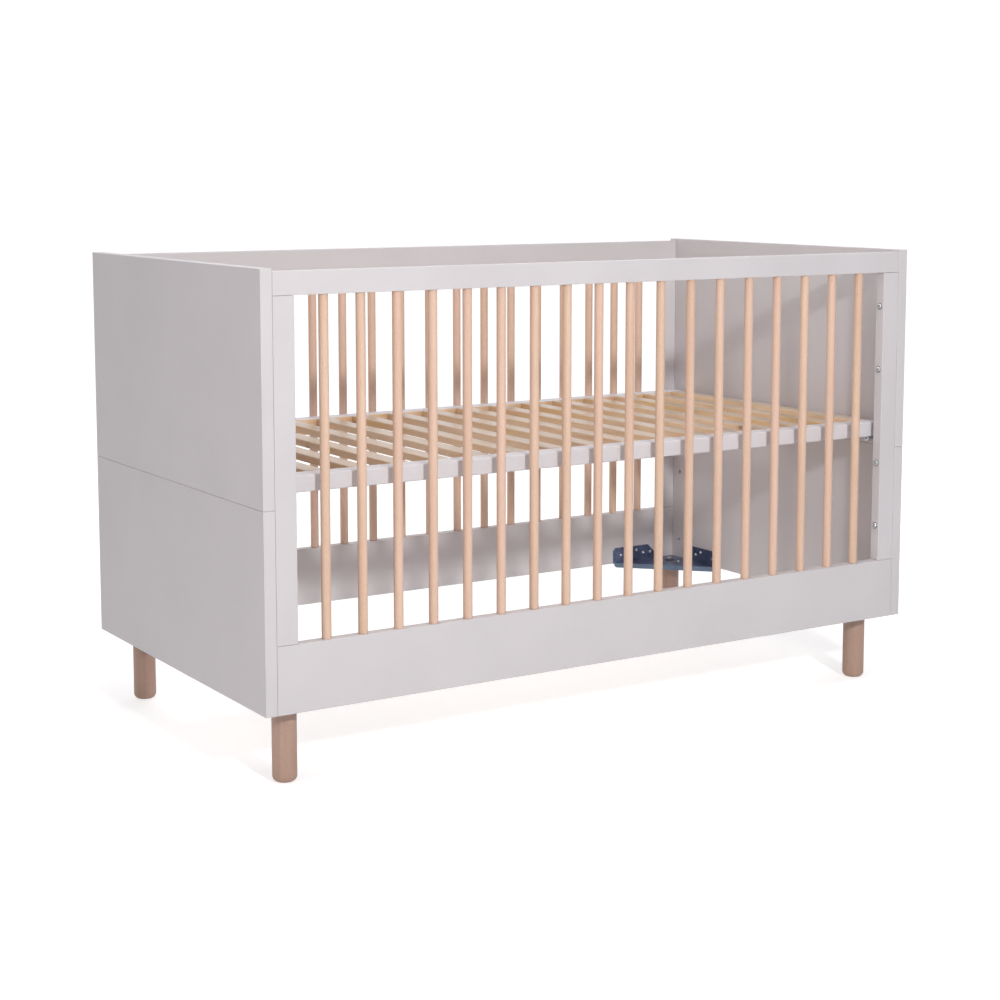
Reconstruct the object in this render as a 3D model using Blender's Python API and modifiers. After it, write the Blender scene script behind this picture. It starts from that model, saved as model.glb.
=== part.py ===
"""Baby crib for a 140 x 70 cm mattress.

Two solid end panels, each made of an upper and a lower board, stand between two barred side
frames. Four round legs sit under sheet-steel corner brackets. A slatted base rests on support
bolts in the end panels and is set at one of three heights.

Units are metres, +Z is up, the floor is z = 0, and the crib's length lies along X.
"""
import math

import bmesh
import bpy
from mathutils import Vector

# Overall size
LENGTH = 1.450
WIDTH = 0.764
HEIGHT = 0.894
GAP = 0.0003

# Boards
BOARD = 0.022
BODY_BOTTOM = 0.136
SEAM_HEIGHT = 0.489
EDGE_ROUND = 0.002
STILE_WIDTH = 0.040
TOP_RAIL_HEIGHT = 0.041
TOP_RAIL_STEP = 0.0045
BOTTOM_RAIL_HEIGHT = 0.120

# Bars
BAR_COUNT = 18
BAR_PITCH = 0.071
BAR_RADIUS = 0.0085
BAR_SIDES = 24

# Legs and their corner brackets
LEG_RADIUS = 0.022
LEG_INSET = 0.0645
LEG_ROUND = 0.010
LEG_SIDES = 32
SHEET = 0.0025
BRACKET_REACH = 0.176
FLANGE_RISE = 0.034
FLANGE_START = 0.042
LIP_DROP = 0.011
LIP_ROUND = 0.007
LIP_SIDES = 5

# Slatted base
BASE_LENGTH = 1.384
BASE_WIDTH = 0.700
BASE_TOP = 0.540
BASE_RAIL_HEIGHT = 0.030
BASE_RAIL_WIDTH = 0.038
BASE_ROUND = 0.003
SLAT_COUNT = 15
SLAT_PITCH = 0.0846
SLAT_WIDTH = 0.035
SLAT_THICKNESS = 0.013
LEDGER_WIDTH = 0.020
OVERLAP = 0.001

# Height adjustment: a column of three holes near each corner of the end panels
HOLE_RADIUS = 0.0045
HOLE_DEPTH = 0.015
HOLE_SIDES = 16
HOLE_STEP = 0.162
HOLE_SPACING = 0.674
SUPPORT_RADIUS = 0.004

# Places that follow from the sizes above
INNER_X = LENGTH / 2 - BOARD
INNER_Y = WIDTH / 2 - BOARD
FRAME_TOP = HEIGHT - TOP_RAIL_STEP
BARS_BOTTOM = BODY_BOTTOM + BOTTOM_RAIL_HEIGHT
BARS_TOP = FRAME_TOP - TOP_RAIL_HEIGHT
BASE_BOTTOM = BASE_TOP - BASE_RAIL_HEIGHT
TOP_HOLE = BASE_BOTTOM - SUPPORT_RADIUS
HOLE_HEIGHTS = [TOP_HOLE - step * HOLE_STEP for step in range(3)]

ENDS = {"left": -1, "right": 1}
SIDES = {"front": -1, "back": 1}


def clear_scene():
    for obj in list(bpy.data.objects):
        bpy.data.objects.remove(obj, do_unlink=True)


def new_collection(name):
    collection = bpy.data.collections.new(name)
    bpy.context.scene.collection.children.link(collection)
    return collection


def new_material(name, colour, roughness, metallic=0.0):
    material = bpy.data.materials.new(name)
    material.use_nodes = True
    shader = material.node_tree.nodes["Principled BSDF"]
    shader.inputs["Base Color"].default_value = (*colour, 1.0)
    shader.inputs["Roughness"].default_value = roughness
    shader.inputs["Metallic"].default_value = metallic
    return material


def new_empty(name, collection):
    empty = bpy.data.objects.new(name, None)
    collection.objects.link(empty)
    return empty


def new_object(name, mesh, material, collection, parent=None):
    obj = bpy.data.objects.new(name, mesh)
    collection.objects.link(obj)
    obj.parent = parent
    if material is not None and not mesh.materials:
        mesh.materials.append(material)
    return obj


def box_mesh(name, size):
    """A box mesh of the given size, centred on its own origin."""
    bm = bmesh.new()
    bmesh.ops.create_cube(bm, size=1.0)
    bmesh.ops.scale(bm, vec=Vector(size), verts=bm.verts)
    mesh = bpy.data.meshes.new(name)
    bm.to_mesh(mesh)
    bm.free()
    return mesh


def cylinder_mesh(name, radius, depth, sides):
    """A capped cylinder along Z, centred on its own origin and shaded smooth round its side."""
    bm = bmesh.new()
    bmesh.ops.create_cone(
        bm, cap_ends=True, segments=sides, radius1=radius, radius2=radius, depth=depth
    )
    mesh = bpy.data.meshes.new(name)
    bm.to_mesh(mesh)
    bm.free()
    mesh.shade_smooth()
    mesh.set_sharp_from_angle(angle=math.radians(40))
    return mesh


def round_edges(obj, radius):
    bevel = obj.modifiers.new("round_edges", "BEVEL")
    bevel.width = radius
    bevel.segments = 2
    bevel.limit_method = "ANGLE"


def add_boolean(obj, other, operation):
    boolean = obj.modifiers.new(operation.lower(), "BOOLEAN")
    boolean.operation = operation
    boolean.solver = "EXACT"
    boolean.object = other


def hide_cutter(obj):
    obj.hide_render = True
    obj.display_type = "WIRE"


def add_board(name, low, high, material, collection, parent):
    """A board with rounded edges between two opposite corners."""
    low = Vector(low)
    high = Vector(high)
    obj = new_object(name, box_mesh(name, high - low), material, collection, parent)
    obj.location = (low + high) / 2
    round_edges(obj, EDGE_ROUND)
    return obj


def add_hole_cutter(name, end, side_sign, height, cutters):
    """A blind hole's cutter, lying along X across an end panel's inner face."""
    depth = 2 * HOLE_DEPTH
    obj = new_object(name, cylinder_mesh(name, HOLE_RADIUS, depth, HOLE_SIDES), None, cutters)
    obj.rotation_euler = (0, math.pi / 2, 0)
    obj.location = (end * INNER_X, side_sign * HOLE_SPACING / 2, height)
    hide_cutter(obj)
    return obj


def build_end_panels(material, collection, cutters, frame):
    """Both end panels: two boards each, with the height-adjustment holes in their inner faces."""
    levels = {
        "lower": (BODY_BOTTOM, SEAM_HEIGHT - GAP / 2),
        "upper": (SEAM_HEIGHT + GAP / 2, HEIGHT),
    }
    for end_name, end in ENDS.items():
        x_low, x_high = sorted((end * INNER_X, end * LENGTH / 2))
        for level, (z_low, z_high) in levels.items():
            board = add_board(
                f"end_panel_{end_name}_{level}",
                (x_low, -WIDTH / 2, z_low),
                (x_high, WIDTH / 2, z_high),
                material, collection, frame,
            )
            for number, height in enumerate(HOLE_HEIGHTS):
                if not z_low < height < z_high:
                    continue
                for side_name, side in SIDES.items():
                    name = f"hole_cutter_{end_name}_{side_name}_{number}"
                    add_boolean(board, add_hole_cutter(name, end, side, height, cutters), "DIFFERENCE")


def build_side_frames(paint, beech, collection, frame):
    """Both side frames: two rails, two stiles between them, and the row of round bars."""
    rail_x = INNER_X - GAP
    stile_x = rail_x - STILE_WIDTH
    bar_length = BARS_TOP - BARS_BOTTOM - 2 * GAP
    bar_mesh = cylinder_mesh("bar", BAR_RADIUS, bar_length, BAR_SIDES)
    for side_name, side in SIDES.items():
        y_low, y_high = sorted((side * INNER_Y, side * WIDTH / 2))
        rails = {
            "bottom": (BODY_BOTTOM, BARS_BOTTOM),
            "top": (BARS_TOP, FRAME_TOP),
        }
        for level, (z_low, z_high) in rails.items():
            add_board(
                f"{side_name}_{level}_rail",
                (-rail_x, y_low, z_low), (rail_x, y_high, z_high),
                paint, collection, frame,
            )
        for end_name, end in ENDS.items():
            x_low, x_high = sorted((end * stile_x, end * rail_x))
            add_board(
                f"{side_name}_{end_name}_stile",
                (x_low, y_low, BARS_BOTTOM + GAP), (x_high, y_high, BARS_TOP - GAP),
                paint, collection, frame,
            )
        for number in range(BAR_COUNT):
            bar = new_object(f"{side_name}_bar_{number + 1:02d}", bar_mesh, beech, collection, frame)
            x = (number - (BAR_COUNT - 1) / 2) * BAR_PITCH
            bar.location = (x, side * (WIDTH - BOARD) / 2, (BARS_BOTTOM + BARS_TOP) / 2)


def leg_mesh(height):
    """A round leg standing on its origin, with its foot's edge rounded."""
    bm = bmesh.new()
    bmesh.ops.create_cone(
        bm, cap_ends=True, segments=LEG_SIDES, radius1=LEG_RADIUS, radius2=LEG_RADIUS, depth=height
    )
    foot = [edge for edge in bm.edges if all(vert.co.z < 0 for vert in edge.verts)]
    bmesh.ops.bevel(bm, geom=foot, offset=LEG_ROUND, segments=4, profile=0.5, affect="EDGES")
    bmesh.ops.translate(bm, vec=Vector((0, 0, height / 2)), verts=bm.verts)
    mesh = bpy.data.meshes.new("leg")
    bm.to_mesh(mesh)
    bm.free()
    mesh.shade_smooth()
    mesh.set_sharp_from_angle(angle=math.radians(40))
    return mesh


def build_legs(material, collection, frame):
    """Four round legs under the corner brackets."""
    mesh = leg_mesh(BODY_BOTTOM - GAP)
    for end_name, end in ENDS.items():
        for side_name, side in SIDES.items():
            leg = new_object(f"leg_{side_name}_{end_name}", mesh, material, collection, frame)
            leg.location = (end * (LENGTH / 2 - LEG_INSET), side * (WIDTH / 2 - LEG_INSET), 0)


def extrude_outline(bm, corners, offset):
    """Adds a closed prism to the mesh: a flat outline of corners, swept by an offset."""
    face = bm.faces.new([bm.verts.new(corner) for corner in corners])
    swept = bmesh.ops.extrude_face_region(bm, geom=[face])
    moved = [item for item in swept["geom"] if isinstance(item, bmesh.types.BMVert)]
    bmesh.ops.translate(bm, vec=offset, verts=moved)


def prism(name, corners, offset, collection):
    """An object holding one prism, used as a piece of a Boolean union."""
    bm = bmesh.new()
    extrude_outline(bm, [Vector(corner) for corner in corners], Vector(offset))
    bmesh.ops.recalc_face_normals(bm, faces=bm.faces)
    mesh = bpy.data.meshes.new(name)
    bm.to_mesh(mesh)
    bm.free()
    return new_object(name, mesh, None, collection)


def lip_outline():
    """The hanging lip seen square to the diagonal edge, with its two lower corners rounded."""
    start = 1.05 * SHEET
    length = math.sqrt(2) * BRACKET_REACH
    corner = []
    for step in range(LIP_SIDES + 1):
        angle = step / LIP_SIDES * math.pi / 2
        along = start + LIP_ROUND * (1 - math.cos(angle))
        corner.append((along, LIP_ROUND * (1 - math.sin(angle)) - LIP_DROP))
    other = [(length - along, height) for along, height in reversed(corner)]
    outline = [(start, 0)] + corner + other + [(length - start, 0)]
    slant = math.sqrt(2)
    return [(BRACKET_REACH - along / slant, along / slant, height) for along, height in outline]


def bracket_pieces(cutters):
    """A corner bracket in its own frame: the corner at the origin, the sheet towards +X and +Y.

    The plate is flat, two flanges stand up along the side frame and the end panel, and a lip
    hangs from the diagonal edge.
    """
    reach = BRACKET_REACH
    chamfer = FLANGE_START + FLANGE_RISE
    clip = 0.006
    plate = prism(
        "bracket_plate", [(0, 0, -SHEET), (reach, 0, -SHEET), (0, reach, -SHEET)],
        (0, 0, SHEET), cutters,
    )
    outline = [
        (FLANGE_START, -SHEET), (reach, -SHEET), (reach, FLANGE_RISE - clip),
        (reach - clip, FLANGE_RISE), (chamfer, FLANGE_RISE), (FLANGE_START, 0),
    ]
    along_x = prism("bracket_flange_x", [(a, 0, z) for a, z in outline], (0, SHEET, 0), cutters)
    along_y = prism("bracket_flange_y", [(0, a, z) for a, z in outline], (SHEET, 0, 0), cutters)
    inward = -SHEET / math.sqrt(2)
    lip = prism("bracket_lip", lip_outline(), (inward, inward, 0), cutters)
    for piece in (plate, along_x, along_y, lip):
        hide_cutter(piece)
    return plate, [along_x, along_y, lip]


def evaluated_copy(obj, name):
    """A new mesh with the object's modifiers applied."""
    graph = bpy.context.evaluated_depsgraph_get()
    mesh = bpy.data.meshes.new_from_object(obj.evaluated_get(graph))
    mesh.name = name
    return mesh


def build_brackets(material, collection, cutters, frame):
    """Four corner brackets: one mesh, turned and mirrored into each bottom corner."""
    plate, others = bracket_pieces(cutters)
    for piece in others:
        add_boolean(plate, piece, "UNION")
    bpy.context.view_layer.update()
    pattern = evaluated_copy(plate, "bracket")
    for end_name, end in ENDS.items():
        for side_name, side in SIDES.items():
            mesh = pattern.copy()
            bm = bmesh.new()
            bm.from_mesh(mesh)
            bmesh.ops.scale(bm, vec=Vector((-end, -side, 1)), verts=bm.verts)
            if end * side < 0:
                bmesh.ops.reverse_faces(bm, faces=bm.faces)
            bm.to_mesh(mesh)
            bm.free()
            mesh.materials.clear()
            name = f"bracket_{side_name}_{end_name}"
            bracket = new_object(name, mesh, material, collection, frame)
            bracket.location = (end * (INNER_X - GAP), side * (INNER_Y - GAP), BODY_BOTTOM + SHEET)


def build_base_rails(material, collection, base):
    """The painted front and back rails of the slatted base."""
    for side_name, side in SIDES.items():
        name = f"base_{side_name}_rail"
        size = (BASE_LENGTH, BASE_RAIL_WIDTH, BASE_RAIL_HEIGHT)
        rail = new_object(name, box_mesh(name, size), material, collection, base)
        y = side * (BASE_WIDTH - BASE_RAIL_WIDTH) / 2
        rail.location = (0, y, BASE_TOP - BASE_RAIL_HEIGHT / 2)
        round_edges(rail, BASE_ROUND)


def build_slat_grid(material, collection, cutters, base):
    """The pine grid: end rails, the ledger strips inside the painted rails, and the slats."""
    width = BASE_WIDTH - 2 * BASE_RAIL_WIDTH - 2 * GAP
    ledger_height = BASE_RAIL_HEIGHT - SLAT_THICKNESS
    pieces = []
    for side_name, side in SIDES.items():
        name = f"ledger_{side_name}"
        size = (BASE_LENGTH - SLAT_WIDTH, LEDGER_WIDTH, ledger_height)
        ledger = new_object(name, box_mesh(name, size), None, cutters)
        y = side * (width - LEDGER_WIDTH) / 2
        ledger.location = (0, y, BASE_BOTTOM + ledger_height / 2)
        pieces.append(ledger)
    for end_name, end in ENDS.items():
        name = f"end_rail_{end_name}"
        rail = new_object(name, box_mesh(name, (SLAT_WIDTH, width, BASE_RAIL_HEIGHT)), None, cutters)
        rail.location = (end * (BASE_LENGTH - SLAT_WIDTH) / 2, 0, BASE_TOP - BASE_RAIL_HEIGHT / 2)
        pieces.append(rail)
    slat_height = SLAT_THICKNESS + OVERLAP
    for number in range(SLAT_COUNT):
        name = f"slat_{number + 1:02d}"
        slat = new_object(name, box_mesh(name, (SLAT_WIDTH, width, slat_height)), None, cutters)
        x = (number - (SLAT_COUNT - 1) / 2) * SLAT_PITCH
        slat.location = (x, 0, BASE_TOP - slat_height / 2)
        pieces.append(slat)
    body = pieces[0]
    for piece in pieces[1:]:
        add_boolean(body, piece, "UNION")
    bpy.context.view_layer.update()
    mesh = evaluated_copy(body, "slat_grid")
    mesh.transform(body.matrix_world)
    mesh.materials.clear()
    new_object("base_slat_grid", mesh, material, collection, base)
    for piece in pieces:
        hide_cutter(piece)


def main():
    clear_scene()
    collection = new_collection("baby_crib")
    cutters = new_collection("cutters")
    paint = new_material("greige_paint", (0.62, 0.60, 0.60), 0.45)
    beech = new_material("beech", (0.78, 0.56, 0.42), 0.50)
    pine = new_material("pine", (0.74, 0.60, 0.45), 0.60)
    steel = new_material("blued_steel", (0.10, 0.13, 0.20), 0.35, 1.0)
    frame = new_empty("crib_frame", collection)
    base = new_empty("bed_base", collection)
    build_end_panels(paint, collection, cutters, frame)
    build_side_frames(paint, beech, collection, frame)
    build_legs(beech, collection, frame)
    build_brackets(steel, collection, cutters, frame)
    build_base_rails(paint, collection, base)
    build_slat_grid(pine, collection, cutters, base)


main()
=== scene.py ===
"""Looks of the baby crib: painted boards, beech bars and legs, a slatted pine base and steel
fittings."""
import math

import bmesh
import bpy
from mathutils import Matrix, Vector


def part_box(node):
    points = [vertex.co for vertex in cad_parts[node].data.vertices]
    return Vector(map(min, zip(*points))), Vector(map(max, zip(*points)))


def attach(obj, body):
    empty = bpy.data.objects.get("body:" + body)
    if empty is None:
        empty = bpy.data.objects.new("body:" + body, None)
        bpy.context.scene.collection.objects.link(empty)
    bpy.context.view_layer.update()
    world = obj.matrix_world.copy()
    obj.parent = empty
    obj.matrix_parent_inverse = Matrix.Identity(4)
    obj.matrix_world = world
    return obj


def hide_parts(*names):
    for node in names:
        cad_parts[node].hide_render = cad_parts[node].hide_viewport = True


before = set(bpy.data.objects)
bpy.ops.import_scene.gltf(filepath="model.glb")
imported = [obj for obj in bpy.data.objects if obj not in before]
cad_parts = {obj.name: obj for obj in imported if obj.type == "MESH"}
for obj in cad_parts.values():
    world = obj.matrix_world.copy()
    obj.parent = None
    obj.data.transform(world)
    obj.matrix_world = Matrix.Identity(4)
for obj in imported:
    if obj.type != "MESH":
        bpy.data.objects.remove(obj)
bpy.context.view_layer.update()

FRAME = "crib_frame"
BASE = "bed_base"
GAP = 0.0003
ENDS = {"left": -1, "right": 1}
SIDES = {"front": -1, "back": 1}

# Boards: the rounding of their edges, and half the thickness of an end panel
PANEL_EDGE = 0.0010
FRAME_EDGE = 0.0012
BASE_RAIL_EDGE = 0.0032
SLAT_EDGE = 0.0018
LEDGER_EDGE = 0.0015
HALF_BOARD = 0.011

# Legs
FOOT_ROUND = 0.0105
FOOT_STEPS = 8
FOOT_TOP = 0.05
LEG_TOP_EDGE = 0.001

# Slatted base
SLAT_COUNT = 15
SLAT_PITCH = 0.0846
SLAT_WIDTH = 0.035
SLAT_THICKNESS = 0.014
LEDGER_WIDTH = 0.020

# Rows of holes in the end panels, and the bolts that carry the base
HOLE_Y = 0.337
HOLE_HEIGHTS = (0.182, 0.344, 0.506)
HOLE_RADIUS = 0.0045
HOLE_DEPTH = 0.014
PIN_RADIUS = 0.004
PIN_LENGTH = 0.038
PIN_START = 0.0003
PIN_CLEARANCE = 0.0001

# Bolts through the stiles
STILE_BOLT_HEIGHTS = (0.780, 0.651, 0.458, 0.328)

# Brackets: distances are from the inner faces of the side frame and the end panel, and a flange
# screw is (distance along the flange, height above the plate)
BRACKET_SHEET = 0.0025
BRACKET_EDGE = 0.0010
FLANGE_SCREWS = ((0.155, 0.016), (0.110, 0.024), (0.091, 0.016), (0.070, 0.016))
PLATE_SCREW = (0.036, 0.069)
LEG_OFFSET = 0.0425

# Driver recesses: half the angle of a cross arm in radians, and the cross's waist as a part of
# its radius
CROSS_ARM = 0.27
CROSS_WAIST = 0.42

# Turned profiles: a ring is (radius, height) or (radius, height, shape of the outline)
INSERT_RINGS = (
    (0.0043, -0.0125), (0.0043, -0.0008), (0.0040, -0.0005),
    (0.0033, -0.0005), (0.0031, -0.0010), (0.0030, -0.0110),
)
PIN_RINGS = (
    (PIN_RADIUS, PIN_START), (PIN_RADIUS, PIN_LENGTH - 0.005),
    (0.0062, PIN_LENGTH - 0.005), (0.0066, PIN_LENGTH - 0.0045),
    (0.0066, PIN_LENGTH - 0.0008), (0.0058, PIN_LENGTH),
    (0.0032, PIN_LENGTH, "hex"), (0.0030, PIN_LENGTH - 0.003, "hex"),
)
STILE_WASHER_RINGS = (
    (0.0034, 0.0), (0.0064, 0.0), (0.0066, 0.0002), (0.0064, 0.0006), (0.0034, 0.0006),
)
STILE_BOLT_RINGS = (
    (0.0030, 0.0006), (0.0052, 0.0006), (0.0055, 0.0010), (0.0053, 0.0019), (0.0044, 0.0028),
    (0.0034, 0.0031), (0.0029, 0.0031, "hex"), (0.0027, 0.0012, "hex"),
)
BRACKET_SCREW_RINGS = (
    (0.0018, 0.0), (0.0034, 0.0), (0.0036, 0.0004), (0.0031, 0.0016), (0.0022, 0.0022),
    (0.0017, 0.0022, "cross"), (0.0011, 0.0008, "cross"),
)
LEG_WASHER_RINGS = (
    (0.0045, 0.0), (0.0108, 0.0), (0.0110, 0.0004), (0.0108, 0.0016), (0.0045, 0.0016),
)
LEG_BOLT_RINGS = (
    (0.0040, 0.0016), (0.0062, 0.0016, "hex"), (0.0064, 0.0020, "hex"), (0.0064, 0.0058, "hex"),
    (0.0056, 0.0066), (0.0020, 0.0068),
)

# Base colours of the materials
PAINT_COLOUR = (0.600, 0.572, 0.588)
# The base's paint is a lighter copy of the frame's greige: painted light on the base's rails
BASE_PAINT_LIT_COLOUR = (0.655, 0.630, 0.655)
BAR_PALE = (0.745, 0.545, 0.415)
BAR_DEEP = (0.600, 0.395, 0.275)
BAR_FLUSH = (0.725, 0.495, 0.410)
# The legs' beech is a darker copy of the bars' beech: painted shade for the legs under the crib
LEG_PALE_SHADED = (0.505, 0.335, 0.265)
LEG_DEEP_SHADED = (0.380, 0.235, 0.170)
LEG_FLUSH_SHADED = (0.480, 0.315, 0.255)
PINE_PALE = (0.780, 0.550, 0.355, 1.0)
PINE_WARM = (0.730, 0.460, 0.240, 1.0)
PINE_RING = (0.550, 0.310, 0.150, 1.0)
PINE_HEART = (0.660, 0.400, 0.160, 1.0)
PINE_HALO = (0.520, 0.290, 0.120, 1.0)
PINE_KNOT = (0.210, 0.090, 0.035, 1.0)
PINE_SAPWOOD = (0.780, 0.620, 0.480, 1.0)
# PINE_TOP_PAINTED_LIGHT darkens and greys the upper faces of the pine: painted shade and sheen
PINE_TOP_PAINTED_LIGHT = (0.68, 0.75, 0.85)
STEEL_COLOUR = (0.090, 0.112, 0.190)
# STEEL_LIP_HIGHLIGHT is a painted highlight on the brackets' slanting lip
STEEL_LIP_HIGHLIGHT = (0.150, 0.210, 0.300, 1.0)
STEEL_FLECK = (0.55, 0.62, 0.72, 1.0)
ZINC_COLOUR = (0.72, 0.75, 0.78)
WASHER_COLOUR = (0.16, 0.17, 0.19)
FLOOR_DARK = (0.63, 0.63, 0.63, 1.0)
FLOOR_LIGHT = (0.66, 0.66, 0.66, 1.0)

# Glow of the floor: on the crib, and as the camera sees it near the crib and away from it
FLOOR_GLOW = 0.26
# The camera sees less glow near the crib than away from it: painted shade on the floor under and
# around the crib
FLOOR_SHOWN_NEAR_SHADE = 0.60
FLOOR_SHOWN_FAR = 0.76
FLOOR_NEAR = 0.8
FLOOR_FAR = 1.8
FLOOR_REACH = 20.0
FLOOR_DROP = 0.0002

# Brightness of the studio in front of the crib, behind it, and as the camera sees it
WORLD_COLOUR = (1.0, 0.975, 1.01, 1.0)
WORLD_FRONT = 0.05
WORLD_BACK = 0.90
WORLD_SHOWN = 1.05

# Lamps: name, place, the point it faces, size, power, colour
LAMPS = (
    ("key", (-0.65, -4.4, 2.4), (0.1, 0.0, 0.5), 0.28, 108.0, (1.0, 1.0, 1.0)),
    ("top", (-0.2, -0.9, 3.6), (0.0, 0.0, 0.5), 2.2, 55.0, (1.0, 1.0, 1.0)),
    ("fill", (-2.2, -1.5, 1.4), (-0.7, -0.2, 0.5), 0.8, 8.0, (1.0, 0.93, 0.82)),
)

# Camera: angles in radians, lens and sensor in millimetres
CAMERA_PLACE = (-2.1010, -3.2878, 1.0555)
CAMERA_YAW = 0.5652
CAMERA_PITCH = 0.1180
CAMERA_LENS = 69.95
CAMERA_SENSOR = 36.0
CAMERA_SHIFT = -0.10


def new_material(name):
    """A material with its node tree and its Principled shader."""
    material = bpy.data.materials.new(name)
    material.use_nodes = True
    tree = material.node_tree
    return material, tree, tree.nodes["Principled BSDF"]


def put(tree, socket, value):
    """Sets a socket to a value, or links another socket to it."""
    if isinstance(value, bpy.types.NodeSocket):
        tree.links.new(value, socket)
    else:
        socket.default_value = value


def add(tree, kind, inputs=None, **settings):
    """A new node with its settings, and its inputs given by name or number as values or sockets."""
    node = tree.nodes.new("ShaderNode" + kind)
    for name, value in settings.items():
        setattr(node, name, value)
    for key, value in (inputs or {}).items():
        put(tree, node.inputs[key], value)
    return node


def maths(tree, operation, a, b=0.0):
    return add(tree, "Math", {0: a, 1: b}, operation=operation).outputs[0]


def remap(tree, value, low, high, to_low=0.0, to_high=1.0):
    inputs = {"Value": value, 1: low, 2: high, 3: to_low, 4: to_high}
    return add(tree, "MapRange", inputs, clamp=True).outputs[0]


def times(tree, vector, factors):
    return add(tree, "VectorMath", {0: vector, 1: factors}, operation="MULTIPLY").outputs[0]


def true_normal(tree):
    """The three parts of the direction that a face points in."""
    return add(tree, "SeparateXYZ", {0: add(tree, "NewGeometry").outputs["True Normal"]}).outputs


def blend_colours(tree, factor, a, b):
    node = add(tree, "Mix", data_type="RGBA", blend_type="MIX")
    put(tree, node.inputs[0], factor)
    put(tree, node.inputs[6], a)
    put(tree, node.inputs[7], b)
    return node.outputs[2]


def noise(tree, vector, scale, detail=3.0, roughness=0.5, distortion=0.0):
    inputs = {
        "Vector": vector, "Scale": scale, "Detail": detail,
        "Roughness": roughness, "Distortion": distortion,
    }
    return add(tree, "TexNoise", inputs).outputs["Fac"]


def local_coordinates(tree):
    """Coordinates fixed to the piece in metres, shifted by a different amount on every piece."""
    place = add(tree, "TexCoord").outputs["Object"]
    chance = add(tree, "ObjectInfo").outputs["Random"]
    shift = add(tree, "CombineXYZ", {
        0: maths(tree, "MULTIPLY", chance, 7.0),
        1: maths(tree, "MULTIPLY", chance, 13.0),
        2: maths(tree, "MULTIPLY", chance, 29.0),
    })
    moved = add(tree, "VectorMath", {0: place, 1: shift.outputs[0]}, operation="ADD")
    return moved.outputs[0], chance


def bump(tree, shader, height, strength, distance):
    """Raises the surface by a height pattern; distance is in metres."""
    node = add(tree, "Bump", {"Height": height, "Strength": strength, "Distance": distance})
    put(tree, shader.inputs["Normal"], node.outputs[0])


def paint_material(name, colour):
    """Sprayed satin lacquer on board: a fine orange-peel skin and a very slight cloudiness."""
    material, tree, shader = new_material(name)
    place, _ = local_coordinates(tree)
    cloud = noise(tree, place, 5.0, 4.0)
    speck = noise(tree, place, 420.0, 2.0)
    light = tuple(min(1.0, c * 1.025) for c in colour) + (1.0,)
    dark = tuple(c * 0.965 for c in colour) + (1.0,)
    tone = blend_colours(tree, remap(tree, cloud, 0.3, 0.7), dark, light)
    dust = remap(tree, speck, 0.62, 0.80, 0.0, 0.10)
    put(tree, shader.inputs["Base Color"], blend_colours(tree, dust, tone, dark))
    put(tree, shader.inputs["Roughness"], remap(tree, cloud, 0.25, 0.75, 0.40, 0.50))
    shader.inputs["Coat Weight"].default_value = 0.12
    shader.inputs["Coat Roughness"].default_value = 0.35
    peel = noise(tree, place, 650.0, 2.0)
    bump(tree, shader, peel, 0.12, 0.0004)
    return material


def wood_lines(tree, place, across, along, rings):
    """Growth lines that run along the piece: fine streaks, broad streaks, and rings of late wood."""
    stretch = [1.0, 1.0, 1.0]
    stretch[along] = 0.035
    long_place = times(tree, place, stretch)
    fine = noise(tree, long_place, 900.0, 3.0, 0.6)
    broad = noise(tree, long_place, 70.0, 3.0, 0.55, 0.4)
    warped = maths(tree, "MULTIPLY", noise(tree, long_place, 24.0, 2.0), 7.0)
    part = add(tree, "SeparateXYZ", {0: place}).outputs[across]
    swing = maths(tree, "ADD", maths(tree, "MULTIPLY", part, rings), warped)
    ring = maths(tree, "FRACT", swing)
    late = maths(tree, "POWER", ring, 2.5)
    return fine, broad, late


def beech_material(name, pale, deep, flush):
    """Turned beech: even, straight grain along the piece with short dark rays."""
    material, tree, shader = new_material(name)
    place, chance = local_coordinates(tree)
    fine, broad, late = wood_lines(tree, place, 0, 2, 260.0)
    streaks = maths(tree, "MULTIPLY", fine, 0.45)
    grain = maths(tree, "ADD", streaks, maths(tree, "MULTIPLY", broad, 0.75))
    tone = blend_colours(tree, remap(tree, grain, 0.42, 0.78), (*deep, 1.0), (*pale, 1.0))
    tone = blend_colours(tree, maths(tree, "MULTIPLY", late, 0.16), tone, (*deep, 1.0))
    tone = blend_colours(tree, remap(tree, chance, 0.0, 1.0, 0.0, 0.55), tone, (*flush, 1.0))
    ray_place = times(tree, place, (1.0, 1.0, 0.16))
    ray = add(tree, "TexVoronoi", {"Vector": ray_place, "Scale": 620.0}).outputs["Distance"]
    mark = remap(tree, ray, 0.10, 0.30, 0.38, 0.0)
    tone = blend_colours(tree, mark, tone, tuple(c * 0.62 for c in deep) + (1.0,))
    put(tree, shader.inputs["Base Color"], tone)
    put(tree, shader.inputs["Roughness"], remap(tree, fine, 0.3, 0.7, 0.42, 0.56))
    shader.inputs["Coat Weight"].default_value = 0.08
    shader.inputs["Coat Roughness"].default_value = 0.4
    pores = maths(tree, "MULTIPLY", mark, 0.5)
    bump(tree, shader, maths(tree, "SUBTRACT", grain, pores), 0.18, 0.0004)
    return material


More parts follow.
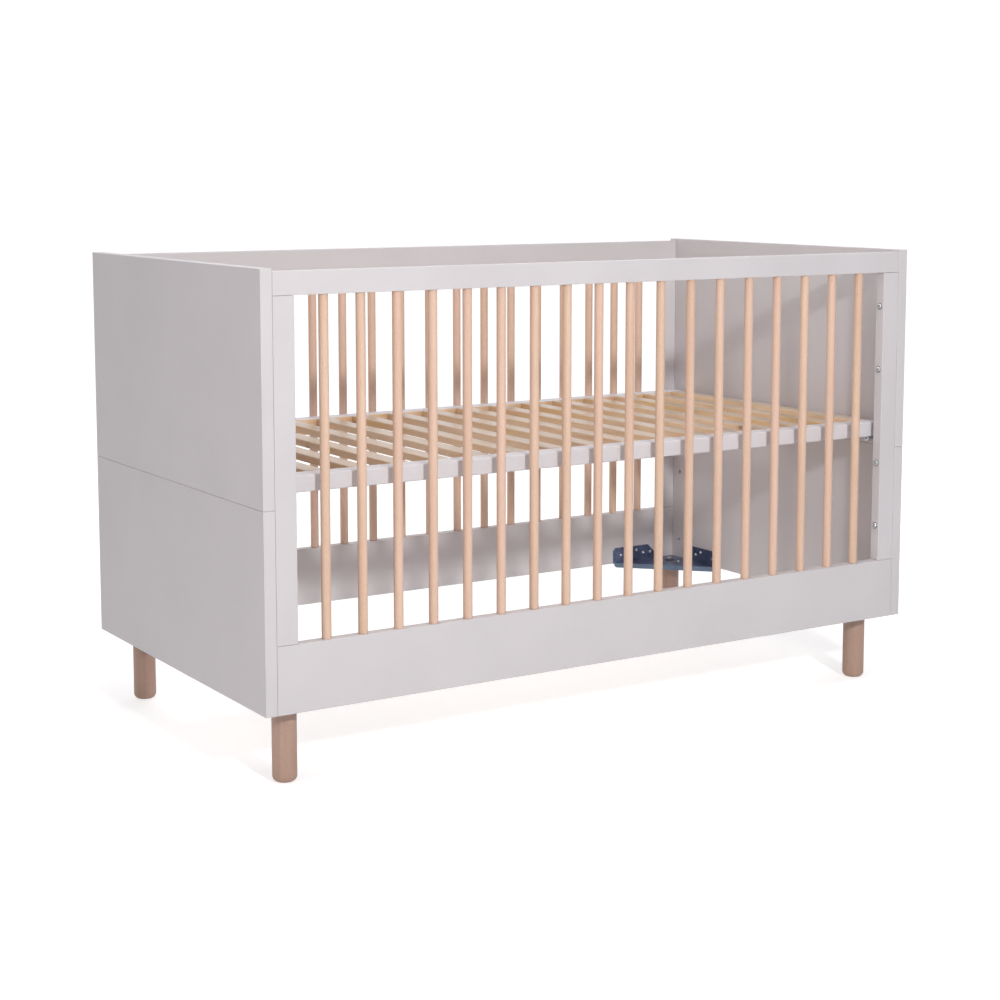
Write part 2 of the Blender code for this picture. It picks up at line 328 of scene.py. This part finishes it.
def pine_material(name, across, along):
    """Raw planed pine: pale wood, yellow heart streaks, darker rings and a few small knots.
    Its upper faces are painted darker and greyer than its sides, as painted shade and sheen."""
    material, tree, shader = new_material(name)
    place, chance = local_coordinates(tree)
    fine, _, late = wood_lines(tree, place, across, along, 150.0)
    tone = blend_colours(tree, remap(tree, fine, 0.35, 0.75, 0.0, 0.35), PINE_PALE, PINE_WARM)
    tone = blend_colours(tree, maths(tree, "MULTIPLY", late, 0.42), tone, PINE_RING)
    stretch = [1.0, 1.0, 1.0]
    stretch[along] = 0.10
    heart_noise = noise(tree, times(tree, place, stretch), 26.0, 1.0)
    heart = remap(tree, heart_noise, 0.55, 0.68, 0.0, 0.75)
    tone = blend_colours(tree, heart, tone, PINE_HEART)
    squeeze = [1.0, 1.0, 1.0]
    squeeze[along] = 0.6
    knot_place = times(tree, place, squeeze)
    knot = add(tree, "TexVoronoi", {"Vector": knot_place, "Scale": 11.0}).outputs["Distance"]
    halo = remap(tree, knot, 0.045, 0.13, 0.55, 0.0)
    core = remap(tree, knot, 0.035, 0.060, 0.85, 0.0)
    tone = blend_colours(tree, halo, tone, PINE_HALO)
    tone = blend_colours(tree, core, tone, PINE_KNOT)
    tone = blend_colours(tree, remap(tree, chance, 0.0, 1.0, 0.0, 0.20), tone, PINE_SAPWOOD)
    # Painted shade and sheen: faces that point up are tinted darker and greyer than the sides
    upward = true_normal(tree)[2]
    tone = blend_colours(tree, remap(tree, upward, 0.3, 0.9), tone, times(tree, tone, PINE_TOP_PAINTED_LIGHT))
    put(tree, shader.inputs["Base Color"], tone)
    put(tree, shader.inputs["Roughness"], remap(tree, fine, 0.3, 0.7, 0.30, 0.42))
    shader.inputs["Coat Weight"].default_value = 0.5
    shader.inputs["Coat Roughness"].default_value = 0.28
    bump(tree, shader, maths(tree, "ADD", fine, maths(tree, "MULTIPLY", late, 0.6)), 0.25, 0.0004)
    return material


def coated_steel_material(name, colour):
    """Bent sheet with a smooth dark blue coating: light scuffs and small bright specks. The slanting
    face, which is the lip, is painted lighter, as a painted highlight."""
    material, tree, shader = new_material(name)
    place, _ = local_coordinates(tree)
    cloud = noise(tree, place, 38.0, 4.0, 0.6)
    scuff = noise(tree, place, 240.0, 4.0, 0.7)
    light = tuple(c * 1.8 for c in colour) + (1.0,)
    tone = blend_colours(tree, remap(tree, cloud, 0.40, 0.72), (*colour, 1.0), light)
    # Painted highlight: faces that slant between X and Y, the lip, are mixed towards a lighter blue
    normal = true_normal(tree)
    slant = maths(tree, "ABSOLUTE", maths(tree, "MULTIPLY", normal[0], normal[1]))
    lip_highlight = remap(tree, slant, 0.30, 0.45, 0.0, 0.85)
    tone = blend_colours(tree, lip_highlight, tone, STEEL_LIP_HIGHLIGHT)
    cell = add(tree, "TexVoronoi", {"Vector": place, "Scale": 150.0}).outputs["Distance"]
    fleck = remap(tree, cell, 0.07, 0.12, 0.8, 0.0)
    tone = blend_colours(tree, fleck, tone, STEEL_FLECK)
    put(tree, shader.inputs["Base Color"], tone)
    put(tree, shader.inputs["Roughness"], remap(tree, scuff, 0.3, 0.7, 0.24, 0.42))
    shader.inputs["Metallic"].default_value = 0.55
    bump(tree, shader, scuff, 0.10, 0.0003)
    return material


def metal_material(name, colour, roughness):
    """Plated fasteners: fine marks and slight tarnish."""
    material, tree, shader = new_material(name)
    place, _ = local_coordinates(tree)
    tarnish = noise(tree, place, 300.0, 4.0, 0.65)
    marks = noise(tree, place, 1800.0, 2.0)
    dark = tuple(c * 0.72 for c in colour) + (1.0,)
    tone = blend_colours(tree, remap(tree, tarnish, 0.35, 0.75, 0.0, 0.7), (*colour, 1.0), dark)
    put(tree, shader.inputs["Base Color"], tone)
    gloss = remap(tree, marks, 0.3, 0.7, roughness - 0.06, roughness + 0.10)
    put(tree, shader.inputs["Roughness"], gloss)
    shader.inputs["Metallic"].default_value = 1.0
    bump(tree, shader, marks, 0.08, 0.0001)
    return material


def floor_material(name):
    """A pale studio floor that glows a little, more so away from the crib, and so stays white."""
    material, tree, shader = new_material(name)
    place = add(tree, "TexCoord").outputs["Object"]
    cloud = noise(tree, place, 0.8, 2.0)
    tone = blend_colours(tree, cloud, FLOOR_DARK, FLOOR_LIGHT)
    put(tree, shader.inputs["Base Color"], tone)
    shader.inputs["Roughness"].default_value = 0.9
    shader.inputs["Emission Color"].default_value = (1.0, 1.0, 1.0, 1.0)
    seen = add(tree, "LightPath").outputs["Is Camera Ray"]
    away = add(tree, "VectorMath", {0: place}, operation="LENGTH").outputs["Value"]
    # Painted shade: the glow the camera sees is weaker near the crib
    shown = remap(tree, away, FLOOR_NEAR, FLOOR_FAR, FLOOR_SHOWN_NEAR_SHADE, FLOOR_SHOWN_FAR)
    put(tree, shader.inputs["Emission Strength"], remap(tree, seen, 0.0, 1.0, FLOOR_GLOW, shown))
    return material


PAINT = paint_material("greige_lacquer", PAINT_COLOUR)
# A lighter copy of the same lacquer, as painted light on the base's rails
BASE_PAINT_LIT = paint_material("greige_lacquer_base_lit", BASE_PAINT_LIT_COLOUR)
BEECH = beech_material("beech_bars", BAR_PALE, BAR_DEEP, BAR_FLUSH)
# A darker copy of the bars' beech, as painted shade on the legs
LEG_BEECH_SHADED = beech_material("beech_legs_shaded", LEG_PALE_SHADED, LEG_DEEP_SHADED, LEG_FLUSH_SHADED)
PINE_ALONG_Y = pine_material("pine_slats", 0, 1)
PINE_ALONG_X = pine_material("pine_ledgers", 2, 0)
BLUE_STEEL = coated_steel_material("blue_coated_steel", STEEL_COLOUR)
ZINC = metal_material("zinc_plate", ZINC_COLOUR, 0.28)
DARK_STEEL = metal_material("dark_washer", WASHER_COLOUR, 0.38)


def new_piece(name, mesh, material, body, replaces=None, matrix=None):
    """A piece in the row frame that rides on a CAD body."""
    piece = bpy.data.objects.new(name, mesh)
    bpy.context.scene.collection.objects.link(piece)
    if not mesh.materials:
        mesh.materials.append(material)
    if matrix is not None:
        piece.matrix_world = matrix
    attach(piece, body)
    if replaces:
        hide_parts(replaces)
    return piece


def smooth(mesh, angle=35.0):
    mesh.shade_smooth()
    mesh.set_sharp_from_angle(angle=math.radians(angle))


def box_mesh(name, size):
    bm = bmesh.new()
    bmesh.ops.create_cube(bm, size=1.0)
    bmesh.ops.scale(bm, vec=size, verts=bm.verts)
    mesh = bpy.data.meshes.new(name)
    bm.to_mesh(mesh)
    bm.free()
    mesh.shade_smooth()
    return mesh


def soften(piece, width, segments=4):
    """Rounds the piece's edges and keeps its flat faces flat in shading."""
    bevel = piece.modifiers.new("edges", "BEVEL")
    bevel.width = width
    bevel.segments = segments
    bevel.limit_method = "ANGLE"
    weighted = piece.modifiers.new("flat_faces", "WEIGHTED_NORMAL")
    weighted.keep_sharp = True


def board(name, low, high, material, body, edge, replaces=None):
    """A board with eased edges between two corners."""
    size = high - low
    matrix = Matrix.Translation((low + high) / 2)
    piece = new_piece(name, box_mesh(name, size), material, body, replaces, matrix)
    soften(piece, edge)
    return piece


def lathe_mesh(name, rings, sides=32):
    """A turned mesh about Z. A ring is (radius, height) or (radius, height, shape), and the first
    and last are closed to the axis. A "hex" or "cross" ring is the outline of a driver recess."""
    bm = bmesh.new()
    loops = []
    for ring in rings:
        radius, height = ring[0], ring[1]
        shape = ring[2] if len(ring) > 2 else "round"
        loop = []
        for step in range(sides):
            angle = 2 * math.pi * step / sides
            reach = radius
            if shape == "hex":
                turn = angle % (math.pi / 3) - math.pi / 6
                reach = radius * math.cos(math.pi / 6) / math.cos(turn)
            if shape == "cross":
                turn = abs((angle + math.pi / 4) % (math.pi / 2) - math.pi / 4)
                reach = radius if turn < CROSS_ARM else radius * CROSS_WAIST
            loop.append(bm.verts.new((reach * math.cos(angle), reach * math.sin(angle), height)))
        loops.append(loop)
    for lower, upper in zip(loops, loops[1:]):
        for step in range(sides):
            after = (step + 1) % sides
            bm.faces.new((lower[step], lower[after], upper[after], upper[step]))
    bm.faces.new(list(reversed(loops[0])))
    bm.faces.new(loops[-1])
    bmesh.ops.recalc_face_normals(bm, faces=bm.faces)
    mesh = bpy.data.meshes.new(name)
    bm.to_mesh(mesh)
    bm.free()
    smooth(mesh)
    return mesh


def facing(place, direction):
    """A placing that turns local Z to a direction."""
    turn = Vector((0, 0, 1)).rotation_difference(Vector(direction))
    return Matrix.Translation(place) @ turn.to_matrix().to_4x4()


def cut_holes(piece, end, heights):
    """Drills the height-adjustment holes into an end board's inner face."""
    inner_x = end * (abs(piece.matrix_world.translation.x) - HALF_BOARD)
    cutters = []
    for height in heights:
        for side in SIDES.values():
            mesh = lathe_mesh("drill", [(HOLE_RADIUS, -HOLE_DEPTH), (HOLE_RADIUS, 0.002)], 32)
            drill = bpy.data.objects.new("drill", mesh)
            bpy.context.scene.collection.objects.link(drill)
            drill.matrix_world = facing((inner_x, side * HOLE_Y, height), (-end, 0, 0))
            cutters.append(drill)
            cut = piece.modifiers.new("hole", "BOOLEAN")
            cut.operation = "DIFFERENCE"
            cut.object = drill
            piece.modifiers.move(len(piece.modifiers) - 1, 1)
    bpy.context.view_layer.update()
    graph = bpy.context.evaluated_depsgraph_get()
    mesh = bpy.data.meshes.new_from_object(piece.evaluated_get(graph))
    piece.modifiers.clear()
    piece.data = mesh
    for drill in cutters:
        bpy.data.objects.remove(drill)


def build_panels():
    """The end boards, with the holes for the base's bolts and their threaded inserts."""
    for end_name, end in ENDS.items():
        for level in ("lower", "upper"):
            node = f"end_panel_{end_name}_{level}"
            low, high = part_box(node)
            name = f"panel_{end_name}_{level}"
            piece = board(name, low, high, PAINT, FRAME, PANEL_EDGE, node)
            inside = [height for height in HOLE_HEIGHTS if low.z < height < high.z]
            cut_holes(piece, end, inside)
            inner_x = low.x if end > 0 else high.x
            for side_name, side in SIDES.items():
                for height in inside:
                    name = f"insert_{end_name}_{side_name}_{round(height * 1000)}"
                    mesh = lathe_mesh(name, INSERT_RINGS, 24)
                    matrix = facing((inner_x, side * HOLE_Y, height), (-end, 0, 0))
                    new_piece(name, mesh, ZINC, FRAME, None, matrix)


def build_side_frames():
    """The rails, stiles and bars of the front and the back."""
    bar_low, bar_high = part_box("front_bar_01")
    radius = (bar_high.x - bar_low.x) / 2
    half = (bar_high.z - bar_low.z) / 2
    bar_mesh = lathe_mesh("bar", [(radius, -half), (radius, 0.0), (radius, half)], 40)
    for side_name in SIDES:
        for part in ("top_rail", "bottom_rail", "left_stile", "right_stile"):
            node = f"{side_name}_{part}"
            low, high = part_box(node)
            board(f"board_{node}", low, high, PAINT, FRAME, FRAME_EDGE, node)
        number = 1
        while f"{side_name}_bar_{number:02d}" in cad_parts:
            node = f"{side_name}_bar_{number:02d}"
            low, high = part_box(node)
            matrix = Matrix.Translation((low + high) / 2)
            new_piece(f"rod_{node}", bar_mesh, BEECH, FRAME, node, matrix)
            number += 1


def build_legs():
    """Turned legs with a rounded foot."""
    for side_name in SIDES:
        for end_name in ENDS:
            node = f"leg_{side_name}_{end_name}"
            low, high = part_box(node)
            radius = (high.x - low.x) / 2
            rings = []
            for step in range(FOOT_STEPS + 1):
                angle = step / FOOT_STEPS * math.pi / 2
                reach = radius - FOOT_ROUND * (1 - math.sin(angle))
                rings.append((reach, FOOT_ROUND * (1 - math.cos(angle))))
            rings += [
                (radius, FOOT_TOP), (radius, high.z - LEG_TOP_EDGE), (radius - LEG_TOP_EDGE, high.z),
            ]
            middle = (low + high) / 2
            matrix = Matrix.Translation((middle.x, middle.y, 0.0))
            mesh = lathe_mesh(node, rings, 64)
            new_piece(f"turned_{node}", mesh, LEG_BEECH_SHADED, FRAME, node, matrix)


def build_base():
    """The painted rails, with bare inner faces, and the pine slats, end rails and ledgers."""
    for side_name in SIDES:
        node = f"base_{side_name}_rail"
        low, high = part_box(node)
        name = f"painted_{node}"
        rail = board(name, low, high, BASE_PAINT_LIT, BASE, BASE_RAIL_EDGE, node)
        rail.data.materials.append(PINE_ALONG_X)
        for face in rail.data.polygons:
            if face.normal.y * SIDES[side_name] < -0.9:
                face.material_index = 1
    low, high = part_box("base_slat_grid")
    node = "base_slat_grid"
    for number in range(SLAT_COUNT):
        middle = (number - (SLAT_COUNT - 1) / 2) * SLAT_PITCH
        slat_low = Vector((middle - SLAT_WIDTH / 2, low.y, high.z - SLAT_THICKNESS))
        slat_high = Vector((middle + SLAT_WIDTH / 2, high.y, high.z))
        name = f"slat_{number + 1:02d}"
        board(name, slat_low, slat_high, PINE_ALONG_Y, BASE, SLAT_EDGE, node)
    for end_name, end in ENDS.items():
        edge = high.x if end > 0 else low.x
        x_low, x_high = sorted((edge, edge - end * SLAT_WIDTH))
        name = f"base_end_rail_{end_name}"
        rail_low = Vector((x_low, low.y, low.z))
        rail_high = Vector((x_high, high.y, high.z))
        board(name, rail_low, rail_high, PINE_ALONG_Y, BASE, SLAT_EDGE, node)
    for side_name, side in SIDES.items():
        edge = high.y if side > 0 else low.y
        y_low, y_high = sorted((edge, edge - side * LEDGER_WIDTH))
        ledger_low = Vector((low.x + SLAT_WIDTH + GAP, y_low, low.z))
        ledger_high = Vector((high.x - SLAT_WIDTH - GAP, y_high, high.z - SLAT_THICKNESS - GAP))
        name = f"ledger_{side_name}"
        board(name, ledger_low, ledger_high, PINE_ALONG_X, BASE, LEDGER_EDGE, node)


def build_pins():
    """The bolts that stand out of the end panels and carry the base."""
    base_low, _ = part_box("base_front_rail")
    height = base_low.z - PIN_RADIUS - PIN_CLEARANCE
    for end_name, end in ENDS.items():
        panel_low, panel_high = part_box(f"end_panel_{end_name}_lower")
        inner_x = panel_low.x if end > 0 else panel_high.x
        for side_name, side in SIDES.items():
            name = f"support_bolt_{end_name}_{side_name}"
            mesh = lathe_mesh(name, PIN_RINGS, 48)
            matrix = facing((inner_x, side * HOLE_Y, height), (-end, 0, 0))
            new_piece(name, mesh, ZINC, BASE, None, matrix)


def build_stile_bolts():
    """Socket-head bolts with washers, through the stiles into the end panels."""
    washer = lathe_mesh("stile_washer", STILE_WASHER_RINGS, 40)
    head = lathe_mesh("stile_bolt", STILE_BOLT_RINGS, 48)
    for side_name in SIDES:
        for end_name, end in ENDS.items():
            low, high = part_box(f"{side_name}_{end_name}_stile")
            face_x = low.x if end > 0 else high.x
            y = (low.y + high.y) / 2
            for number, height in enumerate(STILE_BOLT_HEIGHTS):
                matrix = facing((face_x, y, height), (-end, 0, 0))
                label = f"{side_name}_{end_name}_{number + 1}"
                name = f"stile_washer_{label}"
                new_piece(name, washer, DARK_STEEL, FRAME, None, matrix)
                new_piece(f"stile_bolt_{label}", head, ZINC, FRAME, None, matrix)


def dress_bracket(node):
    """The CAD bracket itself is shown, with its own material and slightly rounded edges."""
    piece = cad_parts[node]
    piece.data.materials.clear()
    piece.data.materials.append(BLUE_STEEL)
    weld = piece.modifiers.new("weld", "WELD")
    weld.merge_threshold = 0.00005
    soften(piece, BRACKET_EDGE, 3)


def build_bracket_fittings(side_name, end_name, screw, washer, bolt):
    """One bracket's screws, and the bolt that holds its leg."""
    side = SIDES[side_name]
    end = ENDS[end_name]
    low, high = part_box(f"bracket_{side_name}_{end_name}")
    corner_x = high.x if end > 0 else low.x
    corner_y = high.y if side > 0 else low.y
    plate_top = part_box(f"{side_name}_bottom_rail")[0].z + BRACKET_SHEET

    def from_corner(from_end, from_side, height):
        return (corner_x - end * from_end, corner_y - side * from_side, plate_top + height)

    label = f"{side_name}_{end_name}"
    for number, (along, height) in enumerate(FLANGE_SCREWS):
        places = {
            "side": (from_corner(along, BRACKET_SHEET, height), (0, -side, 0)),
            "end": (from_corner(BRACKET_SHEET, along, height), (-end, 0, 0)),
        }
        for flange, (place, direction) in places.items():
            name = f"bracket_screw_{label}_{flange}_{number + 1}"
            matrix = facing(place, direction)
            new_piece(name, screw, ZINC, FRAME, None, matrix)
    name = f"bracket_screw_{label}_plate"
    matrix = facing(from_corner(*PLATE_SCREW, 0.0), (0, 0, 1))
    new_piece(name, screw, ZINC, FRAME, None, matrix)
    matrix = facing(from_corner(LEG_OFFSET, LEG_OFFSET, 0.0), (0, 0, 1))
    new_piece(f"leg_washer_{label}", washer, DARK_STEEL, FRAME, None, matrix)
    new_piece(f"leg_bolt_{label}", bolt, ZINC, FRAME, None, matrix)


def build_brackets():
    screw = lathe_mesh("bracket_screw", BRACKET_SCREW_RINGS, 48)
    washer = lathe_mesh("leg_washer", LEG_WASHER_RINGS, 48)
    bolt = lathe_mesh("leg_bolt", LEG_BOLT_RINGS, 48)
    for side_name in SIDES:
        for end_name in ENDS:
            dress_bracket(f"bracket_{side_name}_{end_name}")
            build_bracket_fittings(side_name, end_name, screw, washer, bolt)


def build_floor():
    bm = bmesh.new()
    bmesh.ops.create_grid(bm, x_segments=8, y_segments=8, size=FLOOR_REACH)
    mesh = bpy.data.meshes.new("studio_floor")
    bm.to_mesh(mesh)
    bm.free()
    mesh.materials.append(floor_material("studio_floor"))
    floor = bpy.data.objects.new("studio_floor", mesh)
    floor.location.z = -FLOOR_DROP
    bpy.context.scene.collection.objects.link(floor)


def area_light(name, place, target, size, power, colour):
    """A round soft light that the camera doesn't see."""
    light = bpy.data.lights.new(name, "AREA")
    light.shape = "DISK"
    light.size = size
    light.energy = power
    light.color = colour
    holder = bpy.data.objects.new(name, light)
    bpy.context.scene.collection.objects.link(holder)
    holder.location = place
    holder.visible_camera = False
    aim = Vector(target) - Vector(place)
    holder.rotation_euler = aim.to_track_quat("-Z", "Y").to_euler()


def build_lights():
    """A white room that is bright behind the crib, and the lamps."""
    world = bpy.data.worlds.new("studio")
    bpy.context.scene.world = world
    world.use_nodes = True
    tree = world.node_tree
    background = tree.nodes["Background"]
    background.inputs["Color"].default_value = WORLD_COLOUR
    heading = add(tree, "TexCoord").outputs["Generated"]
    depth = add(tree, "SeparateXYZ", {0: heading}).outputs["Y"]
    glow = remap(tree, depth, -0.4, 0.5, WORLD_FRONT, WORLD_BACK)
    seen = add(tree, "LightPath").outputs["Is Camera Ray"]
    glow = maths(tree, "MULTIPLY", glow, maths(tree, "SUBTRACT", 1.0, seen))
    shown = maths(tree, "MULTIPLY", seen, WORLD_SHOWN)
    put(tree, background.inputs["Strength"], maths(tree, "ADD", glow, shown))
    for lamp in LAMPS:
        area_light(*lamp)


def build_camera():
    camera = bpy.data.cameras.new("camera")
    camera.sensor_width = CAMERA_SENSOR
    camera.lens = CAMERA_LENS
    camera.shift_y = CAMERA_SHIFT
    holder = bpy.data.objects.new("camera", camera)
    bpy.context.scene.collection.objects.link(holder)
    level = math.cos(CAMERA_PITCH)
    ahead = Vector((
        math.sin(CAMERA_YAW) * level, math.cos(CAMERA_YAW) * level, -math.sin(CAMERA_PITCH),
    ))
    holder.location = CAMERA_PLACE
    holder.rotation_euler = ahead.to_track_quat("-Z", "Y").to_euler()
    bpy.context.scene.camera = holder


build_panels()
build_side_frames()
build_legs()
build_base()
build_pins()
build_stile_bolts()
build_brackets()
build_floor()
build_lights()
build_camera()
bpy.context.scene.view_settings.view_transform = "Standard"
